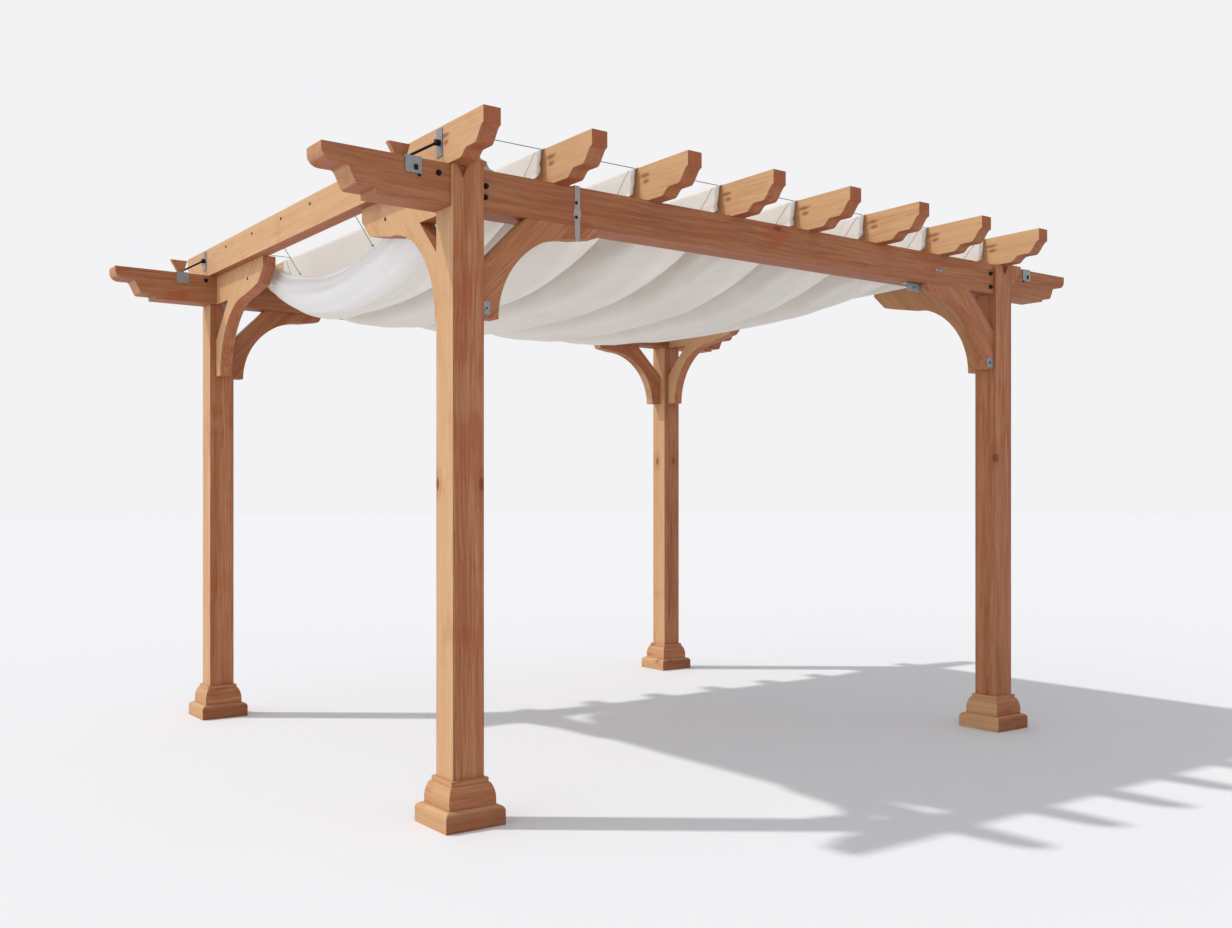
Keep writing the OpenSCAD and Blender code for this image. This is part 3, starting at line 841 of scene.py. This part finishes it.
def angle_bracket(width, drop, reach, thick):
    """A bent angle with a screw: its leg hangs at the front and its flange reaches back under a beam."""
    sheet = begin_upright((0, 0, -drop / 2), width, drop)
    bpy.ops.object.mode_set(mode="EDIT")
    pick("EDGE", lambda e: all(v.co.z > -drop * 0.1 for v in e.verts))
    bpy.ops.mesh.extrude_edges_move(TRANSFORM_OT_translate={"value": (0, reach, 0)})
    pick("EDGE", lambda e: all(abs(v.co.y) < 1e-5 and v.co.z > -drop * 0.1 for v in e.verts))
    bpy.ops.mesh.bevel(offset=thick, segments=3, affect="EDGES")
    bpy.ops.mesh.select_all(action="SELECT")
    bpy.ops.mesh.normals_make_consistent(inside=False)
    bpy.ops.object.mode_set(mode="OBJECT")
    thicken(sheet, thick, -1)
    low = min(v.co.y for v in sheet.data.vertices)
    screw = fixing_plate(*SCREW_PLATE)
    screw.data.transform(Matrix.Translation((0, low, -drop * 0.55)))
    sheet.select_set(True)
    bpy.context.view_layer.objects.active = sheet
    bpy.ops.object.join()
    return sheet


class PERGOLA_OT_brackets(Operator):
    """Hold the right front brace's tip and the back left corner with bent angles"""

    bl_idname = "pergola.brackets"
    bl_label = "Add tip brackets"

    def execute(self, context):
        tip_x = BEAM_BRACE[0].x
        width, thick = 0.118, 0.003
        bracket = angle_bracket(width, 0.046, 0.050, thick)
        top = BEAM_BOTTOM - max(v.co.z for v in bracket.data.vertices)
        places = [facing((tip_x - width / 2, BEAM_FACE + 0.034, top), (0, -1, 0))]
        small = Matrix.Diagonal((0.62, 0.62, 0.8, 1))
        behind = -BEAM_FACE - FRONT_BEAM_T - 0.100
        small_top = BEAM_BOTTOM - 0.8 * (BEAM_BOTTOM - top)
        places.append(facing((RAFTER_BRACE[0].x + 0.012, behind, small_top), (-1, 0, 0)) @ small)
        settle(copies(bracket, places), "brace_brackets", bpy.data.materials["galvanised"])
        return {"FINISHED"}


def nail_head():
    """A flat nail head with a rounded rim, looking along -Y."""
    head = begin_disc(14, 0.0075, 0.0030, -0.0015)
    bpy.ops.object.mode_set(mode="EDIT")
    pick("EDGE", lambda e: all(v.co.y < -0.002 for v in e.verts))
    bpy.ops.mesh.bevel(offset=0.0012, segments=2, affect="EDGES")
    bpy.ops.object.mode_set(mode="OBJECT")
    return head


RAFTER_NAILS_Y = (-0.569, -0.139, 0.248, 0.679, 1.108)
BRACE_NAIL_Y = 0.885
TAIL_NAIL_X = 1.939
STRAP_NAILS_Z = (2.561, 2.500)
STRAP_GREY = tone(172, 164, 160)


class PERGOLA_OT_nails(Operator):
    """Drive the nails in the outer rafters, the rafter braces and the beam tails"""

    bl_idname = "pergola.nails"
    bl_label = "Add nails"

    def execute(self, context):
        places = []
        for face, toward in ((RAFTERS[0][0].x, -1), (RAFTERS[-1][1].x, 1)):
            for y in RAFTER_NAILS_Y:
                places.append(facing((face, y, RAFTER_TOP - 0.040), (toward, 0, 0)))
        for side in (-1, 1):
            for end in (-1, 1):
                brace_x, tail_x = side * -RAFTER_BRACE[0].x, side * TAIL_NAIL_X
                places.append(facing((brace_x, end * BRACE_NAIL_Y, BEAM_TOP - 0.090), (side, 0, 0)))
                places.append(facing((tail_x, end * -BEAM_FACE, BEAM_TOP - 0.066), (0, end, 0)))
        settle(copies(nail_head(), places), "nails", bpy.data.materials["blackened"])
        return {"FINISHED"}


class PERGOLA_OT_slots(Operator):
    """Paint shade into the saddles' leg slots with thin black inlays"""

    bl_idname = "pergola.slots"
    bl_label = "Add saddle slots"

    def execute(self, context):
        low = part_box("beam_saddles")[0]
        tall, wide, thick = 0.022, 0.018, 0.0015
        # Painted shade: a thin black inlay stands where each slot's opening is.
        slot_shade = begin_block((0, -thick / 2, tall / 2), (wide, thick, tall))
        bpy.ops.object.mode_set(mode="EDIT")
        pick("EDGE", lambda e: across_y(e, thick / 2) and e.verts[0].co.z > tall / 2)
        bpy.ops.mesh.bevel(offset=0.006, segments=3, affect="EDGES")
        pick("FACE", lambda face: face.normal.y < -0.9)
        bpy.ops.mesh.inset(thickness=0.0015, depth=-0.0008)
        bpy.ops.object.mode_set(mode="OBJECT")
        places = [facing((side * SADDLE_X + 0.010, end * -low.y, low.z + 0.012), (0, end, 0))
                  for side in (-1, 1) for end in (-1, 1)]
        settle(copies(slot_shade, places), "saddle_slot_shades", bpy.data.materials["blackened"])
        return {"FINISHED"}


class PERGOLA_OT_wedges(Operator):
    """Set a wooden wedge behind each stay rod's foot on the left beam tails"""

    bl_idname = "pergola.wedges"
    bl_label = "Add wedges"

    def execute(self, context):
        wide, deep, tall = 0.028, 0.030, 0.072
        wedge = begin_block((0, 0, tall / 2), (wide, deep, tall))
        bpy.ops.object.mode_set(mode="EDIT")
        pick("FACE", lambda face: face.normal.z > 0.9)
        bpy.ops.transform.resize(value=(3.4, 1.0, 1.0))
        bpy.ops.transform.translate(value=(-0.010, 0, 0))
        pick("EDGE", lambda e: True)
        bpy.ops.mesh.bevel(offset=0.0025, segments=2, affect="EDGES")
        bpy.ops.object.mode_set(mode="OBJECT")
        beam_y = -BEAM_FACE - FRONT_BEAM_T / 2
        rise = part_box("beam_saddles")[1].z
        places = [Matrix.Translation((-SADDLE_X - 0.004, end * (beam_y - 0.036), rise))
                  for end in (-1, 1)]
        wedges = copies(wedge, places)
        settle(wedges, "stay_wedges", bpy.data.materials["post_softwood_front_left"])
        return {"FINISHED"}


class PERGOLA_OT_strap(Operator):
    """Strap the front beam to its left brace"""

    bl_idname = "pergola.strap"
    bl_label = "Add beam strap"

    def execute(self, context):
        top, bottom, x = BEAM_TOP + 0.003, BEAM_BOTTOM - 0.066, POST_X + 0.604
        wide, thick, hook = 0.026, 0.003, 0.045
        strap = begin_upright((x, BEAM_FACE, (top + bottom) / 2), wide, top - bottom)
        bpy.ops.object.mode_set(mode="EDIT")
        pick("EDGE", lambda e: all(v.co.z > top - 0.01 for v in e.verts))
        bpy.ops.mesh.extrude_edges_move(TRANSFORM_OT_translate={"value": (0, hook, 0)})
        bpy.ops.mesh.select_all(action="SELECT")
        bpy.ops.mesh.subdivide(number_cuts=7)
        for at, size in ((bottom, 0.55), (BEAM_BOTTOM + 0.05, 1.5)):
            bpy.ops.mesh.select_all(action="DESELECT")
            pick("EDGE", lambda e: all(
                v.co.y < BEAM_FACE + 1e-4 and abs(v.co.z - at) < 0.018 for v in e.verts))
            bpy.ops.transform.resize(value=(size, 1, 1))
        bpy.ops.mesh.select_all(action="SELECT")
        bpy.ops.mesh.normals_make_consistent(inside=False)
        bpy.ops.object.mode_set(mode="OBJECT")
        thicken(strap, thick, 1)
        bpy.ops.object.shade_smooth_by_angle(angle=math.radians(40))
        settle(strap, "beam_strap", metal("dull_strap", STRAP_GREY, 0.6, 0.3, 0.1))
        places = [facing((x - 0.006, BEAM_FACE - thick, z), (0, -1, 0)) for z in STRAP_NAILS_Z]
        nails = copies(nail_head(), places)
        settle(nails, "strap_nails", bpy.data.materials["blackened"])
        return {"FINISHED"}


SUN_FROM = (-0.475, 0.367, 0.799)
SIDE_FROM = (-0.93, 0.06, 0.36)
CAMERA_AT = (-4.0865, -5.7733, 1.3036)
CAMERA_TURN = math.radians(-36.27)
CAMERA_LENS = 35.115
CAMERA_SHIFT = 0.0283


def add_lamp(scene, name, energy, angle, source):
    """Adds a distant lamp that shines from a direction."""
    lamp = bpy.data.lights.new(name, "SUN")
    lamp.energy = energy
    lamp.angle = math.radians(angle)
    holder = bpy.data.objects.new(name, lamp)
    holder.rotation_euler = Vector(source).to_track_quat("Z", "Y").to_euler()
    scene.collection.objects.link(holder)
    return lamp


class PERGOLA_OT_stage(Operator):
    """Set the plain floor, the soft light and the camera"""

    bl_idname = "pergola.stage"
    bl_label = "Set stage"

    def execute(self, context):
        props = context.scene.pergola_stage
        scene = context.scene
        deselect()
        bpy.ops.mesh.primitive_plane_add(size=160, location=(0, 0, -0.0005))
        floor = context.view_layer.objects.active
        floor.name = "studio_floor"
        material, f = new_finish("studio_floor")
        skin = f.node("ShaderNodeBsdfPrincipled", None, {
            "Base Color": props.floor[:], "Roughness": 0.9, "Specular IOR Level": 0.1})
        f.node("ShaderNodeOutputMaterial", None, {"Surface": skin})
        floor.data.materials.append(material)

        add_lamp(scene, "key_light", props.sun, 1.6, SUN_FROM).color = (1.0, 0.97, 0.93)
        add_lamp(scene, "side_light", props.side, 70, SIDE_FROM)

        world = bpy.data.worlds.new("studio_sky")
        world.use_nodes = True
        scene.world = world
        sky = Finish(world.node_tree)
        rays = sky.node("ShaderNodeLightPath")
        seen = rays.socket.node.outputs
        shown = sum((Value(sky, seen[name]) for name in ("Is Glossy Ray", "Is Transmission Ray")),
                    Value(sky, seen["Is Camera Ray"]))
        fill = sky.node("ShaderNodeBackground", None, {
            "Color": (0.97, 0.98, 1.0, 1), "Strength": props.sky})
        back = sky.node("ShaderNodeBackground", None, {"Color": props.backdrop[:], "Strength": 1.0})
        share = shown.sum("MINIMUM", shown, 1.0)
        both = sky.node("ShaderNodeMixShader", None, {0: share, 1: fill, 2: back})
        sky.node("ShaderNodeOutputWorld", None, {"Surface": both})

        lens = bpy.data.cameras.new("camera")
        lens.sensor_fit = "HORIZONTAL"
        lens.sensor_width = 36
        lens.lens = CAMERA_LENS
        lens.shift_y = CAMERA_SHIFT
        lens.clip_end = 400
        camera = bpy.data.objects.new("camera", lens)
        camera.location = CAMERA_AT
        camera.rotation_euler = (math.radians(90), 0, CAMERA_TURN)
        scene.collection.objects.link(camera)
        scene.camera = camera
        scene.view_settings.view_transform = "Standard"
        return {"FINISHED"}


STEPS = (PERGOLA_OT_stage, PERGOLA_OT_timber, PERGOLA_OT_metal, PERGOLA_OT_canopy, PERGOLA_OT_bolts,
         PERGOLA_OT_plates, PERGOLA_OT_brackets, PERGOLA_OT_nails, PERGOLA_OT_slots, PERGOLA_OT_wedges,
         PERGOLA_OT_strap)
GROUPS = {"pergola_timber": PergolaTimber, "pergola_cloth": PergolaCloth,
          "pergola_fittings": PergolaFittings, "pergola_stage": PergolaStage}


class PERGOLA_PT_panel(Panel):
    """Lists the pergola's sizes and colours, and its steps"""

    bl_idname = "PERGOLA_PT_panel"
    bl_label = "Timber pergola"
    bl_space_type = "VIEW_3D"
    bl_region_type = "UI"
    bl_category = "Pergola"

    def draw(self, context):
        for name, group in GROUPS.items():
            box = self.layout.box()
            for key in group.__annotations__:
                box.prop(getattr(context.scene, name), key)
        for step in STEPS:
            self.layout.operator(step.bl_idname)


def register():
    for group in (*GROUPS.values(), *STEPS, PERGOLA_PT_panel):
        bpy.utils.register_class(group)
    for name, group in GROUPS.items():
        setattr(bpy.types.Scene, name, PointerProperty(type=group))


def unregister():
    for name in GROUPS:
        delattr(bpy.types.Scene, name)
    for group in reversed((*GROUPS.values(), *STEPS, PERGOLA_PT_panel)):
        bpy.utils.unregister_class(group)


def main():
    register()
    bpy.ops.pergola.stage()
    bpy.ops.pergola.timber()
    bpy.ops.pergola.metal()
    bpy.ops.pergola.canopy()
    bpy.ops.pergola.bolts()
    bpy.ops.pergola.plates()
    bpy.ops.pergola.brackets()
    bpy.ops.pergola.nails()
    bpy.ops.pergola.slots()
    bpy.ops.pergola.wedges()
    bpy.ops.pergola.strap()


if __name__ == "__main__":
    main()
